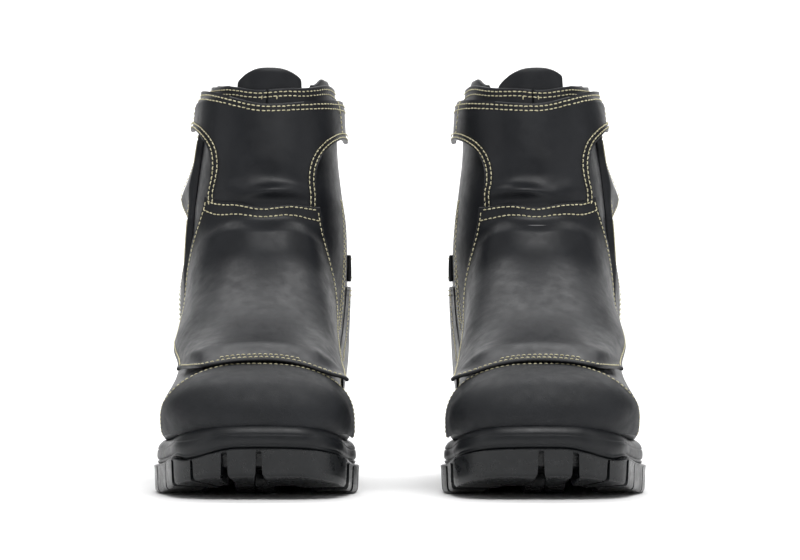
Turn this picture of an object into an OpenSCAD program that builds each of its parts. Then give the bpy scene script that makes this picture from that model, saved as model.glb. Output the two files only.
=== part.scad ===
// A pair of fire boots with a fold-forward instep guard, built piece by piece.
// Millimetres, +Z up, toes towards -Y, origin on the floor under the middle of the pair.
// The right boot is drawn about its own centre line and the left boot is its mirror image.

/* [Pair] */
// Distance between the centre lines of the two boots
pair_pitch = 158; // [150:1:240]
// Overall length from the toe of the upper to the back of the heel, as a scale on lengths
length_scale = 1; // [0.9:0.01:1.1]

/* [Leather] */
// Thickness of the base leather
leather_t = 2.2; // [1.6:0.1:2.2]
// Thickness of an overlay sewn on the base leather
overlay_t = 1.6; // [1.2:0.1:1.6]
// Air left between neighbouring layers
layer_gap = 0.5; // [0.4:0.05:0.5]

/* [Shroud] */
// Thickness of the flap, wings and guard cover
shroud_t = 2.1; // [1.6:0.1:2.1]
// How far the padded middle of the guard stands out from its seams
guard_bulge = 5; // [4.5:0.1:5.5]
// How far the lower corners of the guard flare out from the instep
guard_flare = 3; // [0:0.5:4]

/* [Sole] */
// Width of the sole edge outside the upper
welt_w = 6; // [5:0.2:6.4]
// Height of the tread blocks
lug_h = 8; // [5:0.5:9]
// How far the toe of the tread is lifted off the floor
toe_spring = 13; // [8:0.5:15]

/* [Hidden] */
SIDES = ["right", "left"];
PIECES = [
  "outsole", "midsole", "shank", "insole_board", "footbed", "toe_cap", "heel_counter",
  "vamp", "scuff_cap", "lateral_quarter", "medial_quarter", "heel_cover", "back_stay",
  "ankle_band", "collar", "lining", "tongue", "closure_panel",
  "lateral_loop_patch", "medial_loop_patch", "front_flap", "lateral_wing", "medial_wing",
  "lateral_hook_patch", "medial_hook_patch", "guard_cover", "guard_plate", "guard_foam"
];

// Stations of the upper from the toe to the top line. Each is a slanted section between a front
// line and a back or bottom line:
// [front y, front z, back y, back z, lateral half width, medial half width, middle x,
//  height of the widest place (0 back to 1 front), squareness below it, squareness above it]
STATIONS = [
  [-146.0,  37.0, -145.0,  35.0,  3.0,  4.0,  3.5, 0.50, 2.0, 2.0],
  [-150.0,  43.5, -139.0,  33.5, 25.0, 26.0,  3.5, 0.46, 2.6, 2.2],
  [-149.0,  52.5, -129.0,  31.5, 39.5, 40.0,  2.5, 0.42, 3.4, 2.4],
  [-142.5,  61.5, -114.0,  29.5, 47.5, 47.5,  1.5, 0.38, 4.0, 2.5],
  [-130.0,  67.0,  -97.0,  27.0, 51.0, 50.5,  0.5, 0.34, 4.2, 2.5],
  [-113.0,  70.5,  -80.0,  24.5, 52.8, 52.0,  0.0, 0.32, 4.2, 2.5],
  [ -94.0,  73.5,  -63.0,  23.0, 53.2, 51.5, -0.3, 0.32, 4.0, 2.4],
  [ -72.0,  79.0,  -46.0,  22.5, 52.2, 50.0, -0.5, 0.33, 3.8, 2.3],
  [ -48.0,  88.5,  -26.0,  23.0, 50.5, 47.5, -0.5, 0.34, 3.6, 2.2],
  [ -26.0, 101.0,    0.0,  25.0, 48.5, 45.5, -0.5, 0.37, 3.4, 2.2],
  [  -8.0, 114.0,   34.0,  26.5, 46.5, 44.0,  0.0, 0.38, 3.3, 2.2],
  [   5.0, 126.0,   76.0,  27.5, 45.5, 44.0,  0.0, 0.40, 3.3, 2.2],
  [  13.0, 138.0,  122.0,  28.0, 45.0, 45.0,  0.0, 0.45, 3.2, 2.3],
  [  18.0, 150.0,  150.0,  39.0, 45.5, 46.5,  0.0, 0.52, 2.7, 2.3],
  [  21.0, 162.0,  153.5,  78.0, 46.0, 47.5,  0.0, 0.53, 2.3, 2.3],
  [  23.5, 176.0,  149.5, 118.0, 44.5, 46.5,  0.0, 0.52, 2.2, 2.3],
  [  26.0, 190.0,  146.0, 150.0, 42.5, 43.5,  0.2, 0.50, 2.3, 2.3],
  [  28.5, 204.0,  145.0, 180.0, 40.0, 41.0,  0.5, 0.50, 2.3, 2.3],
  [  31.0, 218.0,  145.5, 206.0, 37.5, 39.8,  0.8, 0.50, 2.3, 2.3],
  [  33.0, 232.0,  147.0, 230.0, 35.5, 38.8,  1.0, 0.50, 2.3, 2.3],
  [  34.5, 246.0,  149.0, 252.0, 34.5, 38.0,  1.0, 0.50, 2.3, 2.3]
];
LAST = len(STATIONS) - 1;
TOP = 19;             // station of the top line
COLLAR_FROM = 17.15;  // station where the padded collar begins
MARGIN = 0.86;        // how far round the upper is turned in under the foot
SPLIT = 0.014;        // half the gap where the quarters meet in front

// Layers measured outwards from the outside of the base leather
OVER = [layer_gap, layer_gap + overlay_t];
UNDER_FACE = -leather_t - 0.8;                  // outer face of what lies inside the base leather
UNDER = [UNDER_FACE - 1.7, UNDER_FACE];
LINING = [UNDER[0] - 1.2, UNDER[0] - 0.3];
BENT = 0.25;                                    // more room for stiff pieces on bent leather
CLOSURE = [OVER[1] + 0.3, OVER[1] + 2];
LATERAL_FLAP = 6.0;   // inner face of the lateral wing, over the closure panel and its patches
MEDIAL_FLAP = 3.4;    // inner face of the medial wing, over its patches
MIDDLE_FLAP = 1.2;    // inner face of the flap down the middle of the instep

LEATHER = "#3a3d42";
LEATHER_MATTE = "#2e3136";
RUBBER = "#26292d";
TEXTILE = "#1f2124";
STEEL = "#9aa0a6";

function lerp(a, b, t) = a + (b - a) * t;
function clamp01(t) = min(1, max(0, t));
function smooth(t) = let (c = clamp01(t)) c * c * (3 - 2 * c);
function power(t, p) = t <= 0 ? 0 : pow(t, p);

// ---- surface of the upper -------------------------------------------------------------------

function station(k) =
  k < 0 ? 2 * STATIONS[0] - STATIONS[1]
  : k > LAST ? 2 * STATIONS[LAST] - STATIONS[LAST - 1]
  : STATIONS[k];

// Smooth section at any place s along the stations
function section(s) =
  let (
    i = min(floor(max(s, 0)), LAST - 1),
    u = s - i,
    p = station(i - 1), q = station(i), r = station(i + 1), t = station(i + 2)
  ) 0.5 * (2 * q + (r - p) * u + (2 * p - 5 * q + 4 * r - t) * u * u
           + (3 * q - p - 3 * r + t) * u * u * u);

// Point of the section s at a turns round it: a = 0 in front, 1 at the back or underneath,
// negative on the lateral side
function base(s, a) =
  let (
    q = section(s),
    sn = sin(180 * a), cs = cos(180 * a),
    n = cs >= 0 ? q[9] : q[8],
    k = 1 / pow(pow(abs(sn), n) + pow(abs(cs), n), 1 / n),
    h = q[7] + (cs >= 0 ? 1 - q[7] : q[7]) * cs * k,
    x = q[6] + (sn < 0 ? q[4] : q[5]) * sn * k
  ) [x, length_scale * lerp(q[2], q[0], h), lerp(q[3], q[1], h)];

function unit(v) = v / norm(v);
STEP = 0.002;
function outward(s, a) = unit(cross(base(s, a + STEP) - base(s, a - STEP),
                                    base(s + STEP, a) - base(s - STEP, a)));
function skin(s, a, d) = base(s, a) + outward(s, a) * d;

// Station where the line a reaches the height z, by halving
function at_height(a, z, low = 6.5, high = 20, n = 14) =
  let (mid = (low + high) / 2)
  n == 0 ? mid
  : base(mid, a)[2] < z ? at_height(a, z, mid, high, n - 1)
  : at_height(a, z, low, mid, n - 1);

// ---- panels ---------------------------------------------------------------------------------

function value(f, u, v) = is_num(f) ? f : f(u, v);
// Two triangles of a grid cell, given its corner numbers in order
function cell(a, b, c, d) = [[a, b, c], [a, c, d]];

// A sheet over the upper. place(u, v) gives [s, a]; inner and outer are its two faces.
module panel(place, nu, nv, inner, outer) {
  m = nv + 1;
  layer = (nu + 1) * m;
  points = [
    for (face = [inner, outer]) for (i = [0:nu]) for (j = [0:nv])
      let (u = i / nu, v = j / nv, p = place(u, v)) skin(p[0], p[1], value(face, u, v))
  ];
  sheets = [
    for (i = [0:nu - 1]) for (j = [0:nv - 1])
      let (k = i * m + j, o = k + layer)
      for (t = concat(cell(k, k + 1, k + m + 1, k + m), cell(o, o + m, o + m + 1, o + 1))) t
  ];
  ends = [
    for (j = [0:nv - 1])
      let (k = j, e = nu * m + j)
      for (t = concat(cell(k, k + layer, k + layer + 1, k + 1),
                      cell(e, e + 1, e + layer + 1, e + layer))) t
  ];
  sides = [
    for (i = [0:nu - 1])
      let (k = i * m, e = k + nv)
      for (t = concat(cell(k, k + m, k + m + layer, k + layer),
                      cell(e, e + layer, e + m + layer, e + m))) t
  ];
  polyhedron(points, concat(sheets, ends, sides));
}

// ---- sole -----------------------------------------------------------------------------------

// Height of the rim of the midsole, of the seam under it, and of the underside of the tread
function rim_z(y) = 28.5 + 12.3 * power((-60 - y) / 90, 2.5) + 10 * smooth((y + 30) / 130);
function seam_z(y) = 15 + 13.5 * power((-60 - y) / 96, 2.1) + 5 * smooth((y + 20) / 120);
function tread_z(y) = toe_spring * power((-75 - y) / 81, 1.7) + 4 * power((y - 135) / 22, 1.5);

// Where the rim meets the section s, by halving: a turns round from the front
function rim_a(s, low = 0, high = 1, n = 14) =
  let (mid = (low + high) / 2, p = base(s, mid))
  n == 0 ? mid
  : p[2] > rim_z(p[1]) ? rim_a(s, mid, high, n - 1)
  : rim_a(s, low, mid, n - 1);
function rim_start(low = 0, high = 2, n = 14) =
  let (mid = (low + high) / 2, p = base(mid, 0))
  n == 0 ? mid
  : p[2] > rim_z(p[1]) ? rim_start(low, mid, n - 1)
  : rim_start(mid, high, n - 1);
function rim_end(low = 11.5, high = 13.5, n = 14) =
  let (mid = (low + high) / 2, p = base(mid, 1))
  n == 0 ? mid
  : p[2] > rim_z(p[1]) ? rim_end(low, mid, n - 1)
  : rim_end(mid, high, n - 1);
RIM_START = rim_start();
RIM_END = rim_end();
UPPER_START = RIM_START + 0.06;

HALF = 24;  // steps from the toe to the heel along one side of the sole
RING = [
  for (i = [0:HALF - 1]) [-1, lerp(RIM_START, RIM_END, (1 - cos(180 * i / HALF)) / 2)],
  for (i = [0:HALF - 1]) [1, lerp(RIM_END, RIM_START, (1 - cos(180 * i / HALF)) / 2)]
];
COUNT = len(RING);
RIM_A = [for (r = RING) rim_a(r[1])];
RIM = [for (i = [0:COUNT - 1]) base(RING[i][1], RING[i][0] * RIM_A[i])];
function around(i) = RIM[(i + COUNT) % COUNT];
function rim_out(i) =
  let (t = around(i + 1) - around(i - 1)) unit([t[1], -t[0]]);

// The sole edge stands out more at the ball and less at the heel
function edge_w(y) = welt_w + 0.7 * smooth((100 - abs(y + 60)) / 60) - 1.9 * smooth((y - 20) / 80);
function edge_point(i, w) = let (p = RIM[i], n = rim_out(i)) [p[0] - n[0] * w, p[1] - n[1] * w];
function outline(extra) = [for (i = [0:COUNT - 1]) edge_point(i, edge_w(RIM[i][1]) + extra)];

// One closed ring of points on the sole edge, at heights given by a function of y
function edge_ring(extra, height) =
  [for (p = outline(extra)) [p[0], p[1], height(p[1])]];
// The ring along the top of the midsole, just outside the rim
function lip_ring(w) =
  [for (i = [0:COUNT - 1]) let (p = edge_point(i, w)) [p[0], p[1], rim_z(p[1])]];
// One closed ring on the upper, part of the way from the rim to the middle of the underside
function cup_ring(part, d) =
  [for (i = [0:COUNT - 1]) skin(RING[i][1], RING[i][0] * lerp(RIM_A[i], 0.97, part), d)];

// A solid between rings, closed at both ends by strips from side to side
module ringed(rings) {
  n = COUNT;
  last = (len(rings) - 1) * n;
  walls = [
    for (k = [0:len(rings) - 2]) for (i = [0:n - 1])
      let (j = (i + 1) % n, b = k * n)
      for (t = cell(b + i, b + j, b + n + j, b + n + i)) t
  ];
  floor_strips = [
    for (i = [0:HALF - 1])
      let (a = i, b = i + 1, c = n - i - 1, d = (n - i) % n)
      for (t = i == 0 ? [[a, c, b]] : i == HALF - 1 ? [[a, d, b]] : cell(a, d, c, b)) t
  ];
  roof = [for (t = floor_strips) [t[0] + last, t[2] + last, t[1] + last]];
  polyhedron([for (r = rings) each r], concat(walls, floor_strips, roof));
}

Y_STEPS = [for (y = [-160:20:160]) y];
// A band running the length of the sole, seen from the side, between two heights
module side_band(low, high) {
  rotate([90, 0, 90])
    linear_extrude(140, center = true)
      polygon([for (y = Y_STEPS) [y, low(y)], for (i = [len(Y_STEPS) - 1:-1:0])
        [Y_STEPS[i], high(Y_STEPS[i])]]);
}

LUG_PITCH = 17;
LUG_LENGTH = 11.5;
module lug_plan() {
  for (k = [-8:8])
    for (side = [-1, 1])
      translate([side * 42, k * LUG_PITCH + side * 3])
        rotate(side * 8)
          square([46, LUG_LENGTH], center = true);
  for (k = [-7:7])
    translate([0, (k + 0.5) * LUG_PITCH])
      circle(6.5, $fn = 4);
  translate([0, -160])
    square([10, 22], center = true);
}
BUMPER = [[4, -165], [60, -165], [60, -128], [36, -128], [4, -140]];

module outsole() {
  color(RUBBER) {
    intersection() {
      linear_extrude(60) polygon(outline(-3));
      side_band(function (y) tread_z(y) + lug_h, function (y) seam_z(y));
    }
    intersection() {
      linear_extrude(60) polygon(outline(0.5));
      side_band(function (y) seam_z(y) - 2.5, function (y) seam_z(y));
    }
    intersection() {
      linear_extrude(60)
        intersection() {
          polygon(outline(0));
          union() {
            lug_plan();
            polygon(BUMPER);
          }
        }
      side_band(function (y) tread_z(y), function (y) seam_z(y) - 1);
    }
  }
}

CUP_D = 0.55;  // clearance of the midsole under the upper
module midsole() {
  color(RUBBER)
    ringed([
      edge_ring(-1.8, function (y) seam_z(y) + 0.3),
      edge_ring(-1.3, function (y) lerp(seam_z(y), rim_z(y), 0.5)),
      lip_ring(2),
      cup_ring(0, CUP_D), cup_ring(0.2, CUP_D), cup_ring(0.5, CUP_D), cup_ring(1, CUP_D)
    ]);
}

module shank() {
  color(STEEL)
    panel(function (u, v) [lerp(8.4, 11.1, u), lerp(0.91, 1.09, v)], 6, 2, -2.1, -0.4);
}

function under_foot(u, v) = [lerp(1.3, 11.8, u), lerp(0.80, 1.20, v)];
module insole_board() {
  color(TEXTILE)
    panel(function (u, v) under_foot(u, v), 12, 6, UNDER[0] - BENT, UNDER[1] - BENT);
}

module footbed() {
  color(TEXTILE)
    panel(function (u, v) under_foot(u, v), 12, 6, UNDER[0] - 4.5, UNDER[0] - 0.65);
}

// ---- upper ----------------------------------------------------------------------------------

// Back edge of the vamp: further back over the instep than at the sides
function vamp_end(a) = 10.4 - 2.2 * pow(abs(a) / MARGIN, 2);

module vamp() {
  color(LEATHER)
    panel(function (u, v) let (a = lerp(-MARGIN, MARGIN, v)) [lerp(UPPER_START, vamp_end(a), u), a],
          12, 16, -leather_t, 0);
}

module toe_cap() {
  color(STEEL)
    panel(function (u, v) [lerp(1.2, 4.6, u), lerp(-0.72, 0.72, v)], 5, 12, UNDER[0], UNDER[1]);
}

// The scuff cap reaches less far back on the lateral side
function scuff_end(a) = max(5.15 - 1.2 * smooth((-a - 0.05) / 0.3), scuff_start(a) + 0.4);
module scuff_cap() {
  color(LEATHER_MATTE)
    panel(function (u, v) let (a = lerp(-0.645, 0.645, v)) [lerp(scuff_start(a), scuff_end(a), u), a],
          6, 18, OVER[0] + BENT, OVER[1]);
}
// The cap stops at the rim of the midsole
function scuff_start(a) = rim_s(abs(a)) + 0.35 + 0.3 * smooth((abs(a) - 0.45) / 0.1);
// Station where the rim crosses the line a near the toe, by halving
function rim_s(a, low = 0.3, high = 4.5, n = 12) =
  let (mid = (low + high) / 2, p = base(mid, a))
  n == 0 ? mid
  : p[2] > rim_z(p[1]) ? rim_s(a, low, mid, n - 1)
  : rim_s(a, mid, high, n - 1);

// side is -1 for lateral and 1 for medial
module quarter(side) {
  panel(function (u, v)
      let (
        turned_in = smooth((lerp(9, TOP, u) - 11.4) / 1.6),
        a = lerp(SPLIT, lerp(MARGIN, 0.994, turned_in), v)
      ) [lerp(vamp_end(a) + 0.07, TOP, u), side * a],
      14, 13, -leather_t, 0);
}
module lateral_quarter() { color(LEATHER) quarter(-1); }
module medial_quarter() { color(LEATHER) quarter(1); }

COVER_TOP = 114;   // height of the top edge of the heel cover
COVER_FOOT = 40.5; // height of its lower edge, just over the rim of the midsole
module heel_cover() {
  color(LEATHER)
    panel(function (u, v)
        let (
          a = lerp(-0.43, -1.56, v),
          low = max(10.2, at_height(a, COVER_FOOT))
        ) [lerp(low, at_height(a, COVER_TOP), u), a],
        9, 24, OVER[0] + BENT, OVER[1]);
}

BAND = [117, 133];  // heights of the lower and upper edge of the ankle band
module ankle_band() {
  color(LEATHER)
    panel(function (u, v)
        let (a = lerp(-0.50, -1.53, v)) [at_height(a, lerp(BAND[0], BAND[1], u)), a],
        2, 18, OVER[0], OVER[1]);
}

module back_stay() {
  color(LEATHER)
    panel(function (u, v)
        let (a = lerp(0.945, 1.055, v)) [at_height(a, lerp(BAND[1] + 2, 226, u)), a],
        8, 4, OVER[0], OVER[1]);
}

module collar() {
  color(LEATHER)
    panel(function (u, v) [lerp(COLLAR_FROM, TOP + 0.05, u), lerp(-0.25, -1.75, v)],
          4, 24, UNDER_FACE - 6, UNDER_FACE);
}

// Lower edge of the lining: it stops at the sides of the footbed and at the heel counter
function lining_start(a) = lerp(8, 15.3, smooth((0.22 - abs(abs(a) - 1)) / 0.14 + 0.5));
module lining() {
  color(TEXTILE)
    panel(function (u, v)
        let (a = lerp(-0.20, -1.80, v)) [lerp(lining_start(a), COLLAR_FROM - 0.1, u), a],
        5, 20, LINING[0], LINING[1]);
}

module heel_counter() {
  color(TEXTILE)
    panel(function (u, v)
        let (a = lerp(-0.68, -1.32, v)) [lerp(13.5, 15.1, u), a],
        5, 10, UNDER[0] + BENT, UNDER[1]);
}

// The top of the tongue is rounded and stands above the collar
function tongue_top(v) = 19.82 - 0.6 * pow(abs(2 * v - 1), 3);
function tongue_half(s) = 0.145 + 0.035 * smooth((s - 18) / 0.4);
module tongue() {
  color(LEATHER)
    panel(function (u, v) let (s = lerp(10.9, tongue_top(v), u)) [s, lerp(-1, 1, v) * tongue_half(s)],
          12, 6, function (u, v) UNDER_FACE - 2.7 - 3 * smooth(u / 0.4), UNDER_FACE - 0.2);
}

// ---- lateral closure panel ------------------------------------------------------------------

function bump(t, middle, half) = smooth(1 - abs(t - middle) / half);
// Back edge of the closure panel, with two scallops and the tab between them
function closure_back(s) =
  -0.575 + 0.125 * bump(s, 16.95, 0.8) + 0.125 * smooth((s - 13.7) / 0.4) * smooth((15.2 - s) / 0.35);
// Its front edge is sewn down on the quarter, the rest stands over the ankle band, and the tab
// stands furthest out
function closure_d(s, v) =
  lerp(layer_gap - CLOSURE[0], 0, smooth(v / 0.15)) + 4.6 * v * bump(s, 16.05, 0.7);
function closure_s(u) = lerp(12.7, 18.3, u);
module closure_panel() {
  color(LEATHER)
    panel(function (u, v) let (s = closure_s(u)) [s, lerp(-0.405, closure_back(s), pow(v, 1.7))],
          20, 3, function (u, v) CLOSURE[0] + closure_d(closure_s(u), pow(v, 1.7)),
          function (u, v) CLOSURE[1] + closure_d(closure_s(u), pow(v, 1.7)));
}

module loop_patch(side, inner, outer) {
  panel(function (u, v) let (a = lerp(0.345, 0.455, v)) [lerp(17.75, 18.3, u), side * a],
        2, 4, inner, outer);
}
module lateral_loop_patch() { color(TEXTILE) loop_patch(-1, 4.4, 4.9); }
module medial_loop_patch() { color(TEXTILE) loop_patch(1, 0.3, 1.6); }
module lateral_hook_patch() { color(TEXTILE) loop_patch(-1, 5.15, 5.6); }
module medial_hook_patch() { color(TEXTILE) loop_patch(1, 1.9, 3.1); }

// ---- shroud: flap, wings and guard ----------------------------------------------------------

FOLD = [-0.225, 0.215];    // where the lateral and medial wings leave the flap
WING_END = [-0.49, 0.50];
// Inner face of the flap and wings: it steps out over the closure pieces at the sides, and lies
// closer under the guard and along the top
function shroud_d(s, a) =
  let (
    side = a < 0 ? LATERAL_FLAP : MEDIAL_FLAP,
    out = smooth((abs(a) - 0.08) / 0.22) * smooth((s - 13.9) / 0.9) * (1 - 0.6 * smooth((s - 18.35) / 0.4))
  ) lerp(MIDDLE_FLAP, side, out);
function shroud_top(a) =
  18.22 + (a < 0 ? 0.72 * (1 - exp(-pow(a / 0.22, 2))) : 0.44 * (1 - exp(-pow(a / 0.28, 2))));
// Lower edge of a wing: a concave sweep from the flap out to the tip
function wing_low(a) =
  let (t = clamp01((abs(a) - 0.2) / 0.25)) 15.9 + 1.75 * pow(t, 0.55);

GUARD_TOP = 14.15;   // station of the guard's upper edge
GUARD_FOOT = 4.95;   // station of the guard's lower edge
FLAP_HALF = 0.19;    // how far the flap reaches round where the guard covers it
function flap_place(u, v) =
  let (
    wide = smooth(4 * u - 2),
    a = lerp(lerp(-FLAP_HALF, FOLD[0] + 0.004, wide), lerp(FLAP_HALF, FOLD[1] - 0.004, wide), v)
  ) [lerp(GUARD_FOOT + 0.4, shroud_top(a), u), a];
function wing_place(i, u, v) =
  let (a = lerp(FOLD[i], WING_END[i], v)) [lerp(wing_low(a), shroud_top(a), u), a];
function shroud_at(p, t) = shroud_d(p[0], p[1]) + t;
module front_flap() {
  color(LEATHER)
    panel(function (u, v) flap_place(u, v), 18, 8,
          function (u, v) shroud_at(flap_place(u, v), 0),
          function (u, v) shroud_at(flap_place(u, v), shroud_t));
}

module wing(i) {
  panel(function (u, v) wing_place(i, u, v), 5, 7,
        function (u, v) shroud_at(wing_place(i, u, v), 0),
        function (u, v) shroud_at(wing_place(i, u, v), shroud_t));
}
module lateral_wing() { color(LEATHER) wing(0); }
module medial_wing() { color(LEATHER) wing(1); }

// Half width of the guard, turns round from the front, wider towards the foot
function guard_half(side, s) =
  let (tuck = smooth((9 - s) / 4))
  side < 0 ? 0.232 + 0.150 * smooth((14.3 - s) / 4.6) - 0.085 * tuck
  : 0.198 + 0.155 * smooth((14.3 - s) / 5.4) - 0.045 * tuck;
function guard_place(u, v) =
  let (
    t = 2 * v - 1,
    s = lerp(GUARD_FOOT, GUARD_TOP, u),
    raised = 0.9 * smooth((-t - 0.55) / 0.45) * (1 - u)
  ) [s + raised, t * guard_half(t, s)];
// Inner face of the guard cover: close to its seams at the top and the foot, full in the middle,
// and standing off at the two lower corners
function guard_d(u, v) =
  let (
    t = abs(2 * v - 1),
    seam = lerp(2.9, 3.7, smooth(u / 0.1)),
    low_edge = 1.4 + guard_flare * smooth(1 - u / 0.35) * smooth((t - 0.45) / 0.4),
    edge = lerp(low_edge, seam + 0.3, smooth((u - 0.45) / 0.22)),
    full = guard_bulge * smooth(u / 0.12) * smooth((1 - u) / 0.12)
  ) lerp(seam + full, edge, smooth((t - 0.55) / 0.45));
module guard_cover() {
  color(LEATHER)
    panel(function (u, v) guard_place(u, v), 14, 12,
          function (u, v) guard_d(u, v), function (u, v) guard_d(u, v) + shroud_t);
}

// The plate and foam lie side by side under the middle of the cover
module guard_layer(low, high) {
  panel(function (u, v) [lerp(6.3, 12.8, u), lerp(-0.15, 0.15, v)], 7, 5, low, high);
}
module guard_plate() { color(STEEL) guard_layer(6.6, 8.0); }
module guard_foam() { color(TEXTILE) guard_layer(3.7, 6.3); }

// ---- assembly -------------------------------------------------------------------------------

module piece(name) {
  if (name == "outsole") outsole();
  if (name == "midsole") midsole();
  if (name == "shank") shank();
  if (name == "insole_board") insole_board();
  if (name == "footbed") footbed();
  if (name == "toe_cap") toe_cap();
  if (name == "heel_counter") heel_counter();
  if (name == "vamp") vamp();
  if (name == "scuff_cap") scuff_cap();
  if (name == "lateral_quarter") lateral_quarter();
  if (name == "medial_quarter") medial_quarter();
  if (name == "heel_cover") heel_cover();
  if (name == "back_stay") back_stay();
  if (name == "ankle_band") ankle_band();
  if (name == "collar") collar();
  if (name == "lining") lining();
  if (name == "tongue") tongue();
  if (name == "closure_panel") closure_panel();
  if (name == "lateral_loop_patch") lateral_loop_patch();
  if (name == "medial_loop_patch") medial_loop_patch();
  if (name == "front_flap") front_flap();
  if (name == "lateral_wing") lateral_wing();
  if (name == "medial_wing") medial_wing();
  if (name == "lateral_hook_patch") lateral_hook_patch();
  if (name == "medial_hook_patch") medial_hook_patch();
  if (name == "guard_cover") guard_cover();
  if (name == "guard_plate") guard_plate();
  if (name == "guard_foam") guard_foam();
}

module boot(side) {
  for (name = PIECES)
    piece(name);
}

translate([-pair_pitch / 2, 0, 0]) boot("right");
mirror([1, 0, 0]) translate([-pair_pitch / 2, 0, 0]) boot("left");
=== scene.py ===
"""Looks of the pair of fire boots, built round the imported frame. Metres, toes towards -Y."""
import math

import bpy
import numpy as np
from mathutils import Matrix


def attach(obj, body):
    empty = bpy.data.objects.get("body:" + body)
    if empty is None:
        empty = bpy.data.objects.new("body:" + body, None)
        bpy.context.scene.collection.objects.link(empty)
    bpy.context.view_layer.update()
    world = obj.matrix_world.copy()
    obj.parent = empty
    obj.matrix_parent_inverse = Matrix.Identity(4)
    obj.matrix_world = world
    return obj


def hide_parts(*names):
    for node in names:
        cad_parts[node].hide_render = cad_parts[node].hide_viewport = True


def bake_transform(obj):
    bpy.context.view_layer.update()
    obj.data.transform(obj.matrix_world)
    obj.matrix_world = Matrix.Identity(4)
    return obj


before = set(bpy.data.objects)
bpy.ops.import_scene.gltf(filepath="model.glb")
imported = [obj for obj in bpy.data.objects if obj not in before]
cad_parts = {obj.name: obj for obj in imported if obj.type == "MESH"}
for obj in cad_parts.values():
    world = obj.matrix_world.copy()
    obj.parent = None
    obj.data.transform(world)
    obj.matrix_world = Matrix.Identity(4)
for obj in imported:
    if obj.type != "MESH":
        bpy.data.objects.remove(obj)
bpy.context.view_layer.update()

MM = 0.001
SIDES = ("right", "left")


# ---- surface of the upper, in millimetres about the right boot's own centre line ----------------
# Each station is a slanted section: front y, front z, back y, back z, lateral half width,
# medial half width, middle x, place of the widest point, squareness below it, squareness above it
STATIONS = np.array([
    [-146.0,  37.0, -145.0,  35.0,  3.0,  4.0,  3.5, 0.50, 2.0, 2.0],
    [-150.0,  43.5, -139.0,  33.5, 25.0, 26.0,  3.5, 0.46, 2.6, 2.2],
    [-149.0,  52.5, -129.0,  31.5, 39.5, 40.0,  2.5, 0.42, 3.4, 2.4],
    [-142.5,  61.5, -114.0,  29.5, 47.5, 47.5,  1.5, 0.38, 4.0, 2.5],
    [-130.0,  67.0,  -97.0,  27.0, 51.0, 50.5,  0.5, 0.34, 4.2, 2.5],
    [-113.0,  70.5,  -80.0,  24.5, 52.8, 52.0,  0.0, 0.32, 4.2, 2.5],
    [ -94.0,  73.5,  -63.0,  23.0, 53.2, 51.5, -0.3, 0.32, 4.0, 2.4],
    [ -72.0,  79.0,  -46.0,  22.5, 52.2, 50.0, -0.5, 0.33, 3.8, 2.3],
    [ -48.0,  88.5,  -26.0,  23.0, 50.5, 47.5, -0.5, 0.34, 3.6, 2.2],
    [ -26.0, 101.0,    0.0,  25.0, 48.5, 45.5, -0.5, 0.37, 3.4, 2.2],
    [  -8.0, 114.0,   34.0,  26.5, 46.5, 44.0,  0.0, 0.38, 3.3, 2.2],
    [   5.0, 126.0,   76.0,  27.5, 45.5, 44.0,  0.0, 0.40, 3.3, 2.2],
    [  13.0, 138.0,  122.0,  28.0, 45.0, 45.0,  0.0, 0.45, 3.2, 2.3],
    [  18.0, 150.0,  150.0,  39.0, 45.5, 46.5,  0.0, 0.52, 2.7, 2.3],
    [  21.0, 162.0,  153.5,  78.0, 46.0, 47.5,  0.0, 0.53, 2.3, 2.3],
    [  23.5, 176.0,  149.5, 118.0, 44.5, 46.5,  0.0, 0.52, 2.2, 2.3],
    [  26.0, 190.0,  146.0, 150.0, 42.5, 43.5,  0.2, 0.50, 2.3, 2.3],
    [  28.5, 204.0,  145.0, 180.0, 40.0, 41.0,  0.5, 0.50, 2.3, 2.3],
    [  31.0, 218.0,  145.5, 206.0, 37.5, 39.8,  0.8, 0.50, 2.3, 2.3],
    [  33.0, 232.0,  147.0, 230.0, 35.5, 38.8,  1.0, 0.50, 2.3, 2.3],
    [  34.5, 246.0,  149.0, 252.0, 34.5, 38.0,  1.0, 0.50, 2.3, 2.3],
])
LAST = len(STATIONS) - 1
TOP = 19.0
COLLAR_FROM = 17.15
MARGIN = 0.86


def lerp(a, b, t):
    return a + (b - a) * t


def smooth(t):
    c = np.clip(t, 0.0, 1.0)
    return c * c * (3 - 2 * c)


def bump(t, middle, half):
    return smooth(1 - np.abs(t - middle) / half)


def hill(t, middle, width):
    return np.exp(-((t - middle) / width) ** 2)


def section(s):
    """Smooth section at any place s along the stations."""
    s = np.clip(np.asarray(s, float), 0, LAST)
    i = np.minimum(s.astype(int), LAST - 1)
    u = (s - i)[..., None]
    ends = np.vstack([2 * STATIONS[0] - STATIONS[1], STATIONS, 2 * STATIONS[-1] - STATIONS[-2]])
    p, q, r, t = (ends[i + k] for k in range(4))
    return 0.5 * (2 * q + (r - p) * u + (2 * p - 5 * q + 4 * r - t) * u**2
                  + (3 * q - p - 3 * r + t) * u**3)


def base(s, a):
    """Points at station s and a half turns from the front: negative a is the lateral side."""
    s, a = np.broadcast_arrays(np.asarray(s, float), np.asarray(a, float))
    fy, fz, by, bz, wl, wm, mx, c, low, up = np.moveaxis(section(s), -1, 0)
    sn, cs = np.sin(np.pi * a), np.cos(np.pi * a)
    n = np.where(cs >= 0, up, low)
    k = (np.abs(sn) ** n + np.abs(cs) ** n) ** (-1 / n)
    h = c + np.where(cs >= 0, 1 - c, c) * cs * k
    x = mx + np.where(sn < 0, wl, wm) * sn * k
    return np.stack([x, lerp(by, fy, h), lerp(bz, fz, h)], -1)


def unit(v):
    return v / np.maximum(np.linalg.norm(v, axis=-1, keepdims=True), 1e-9)


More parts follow.
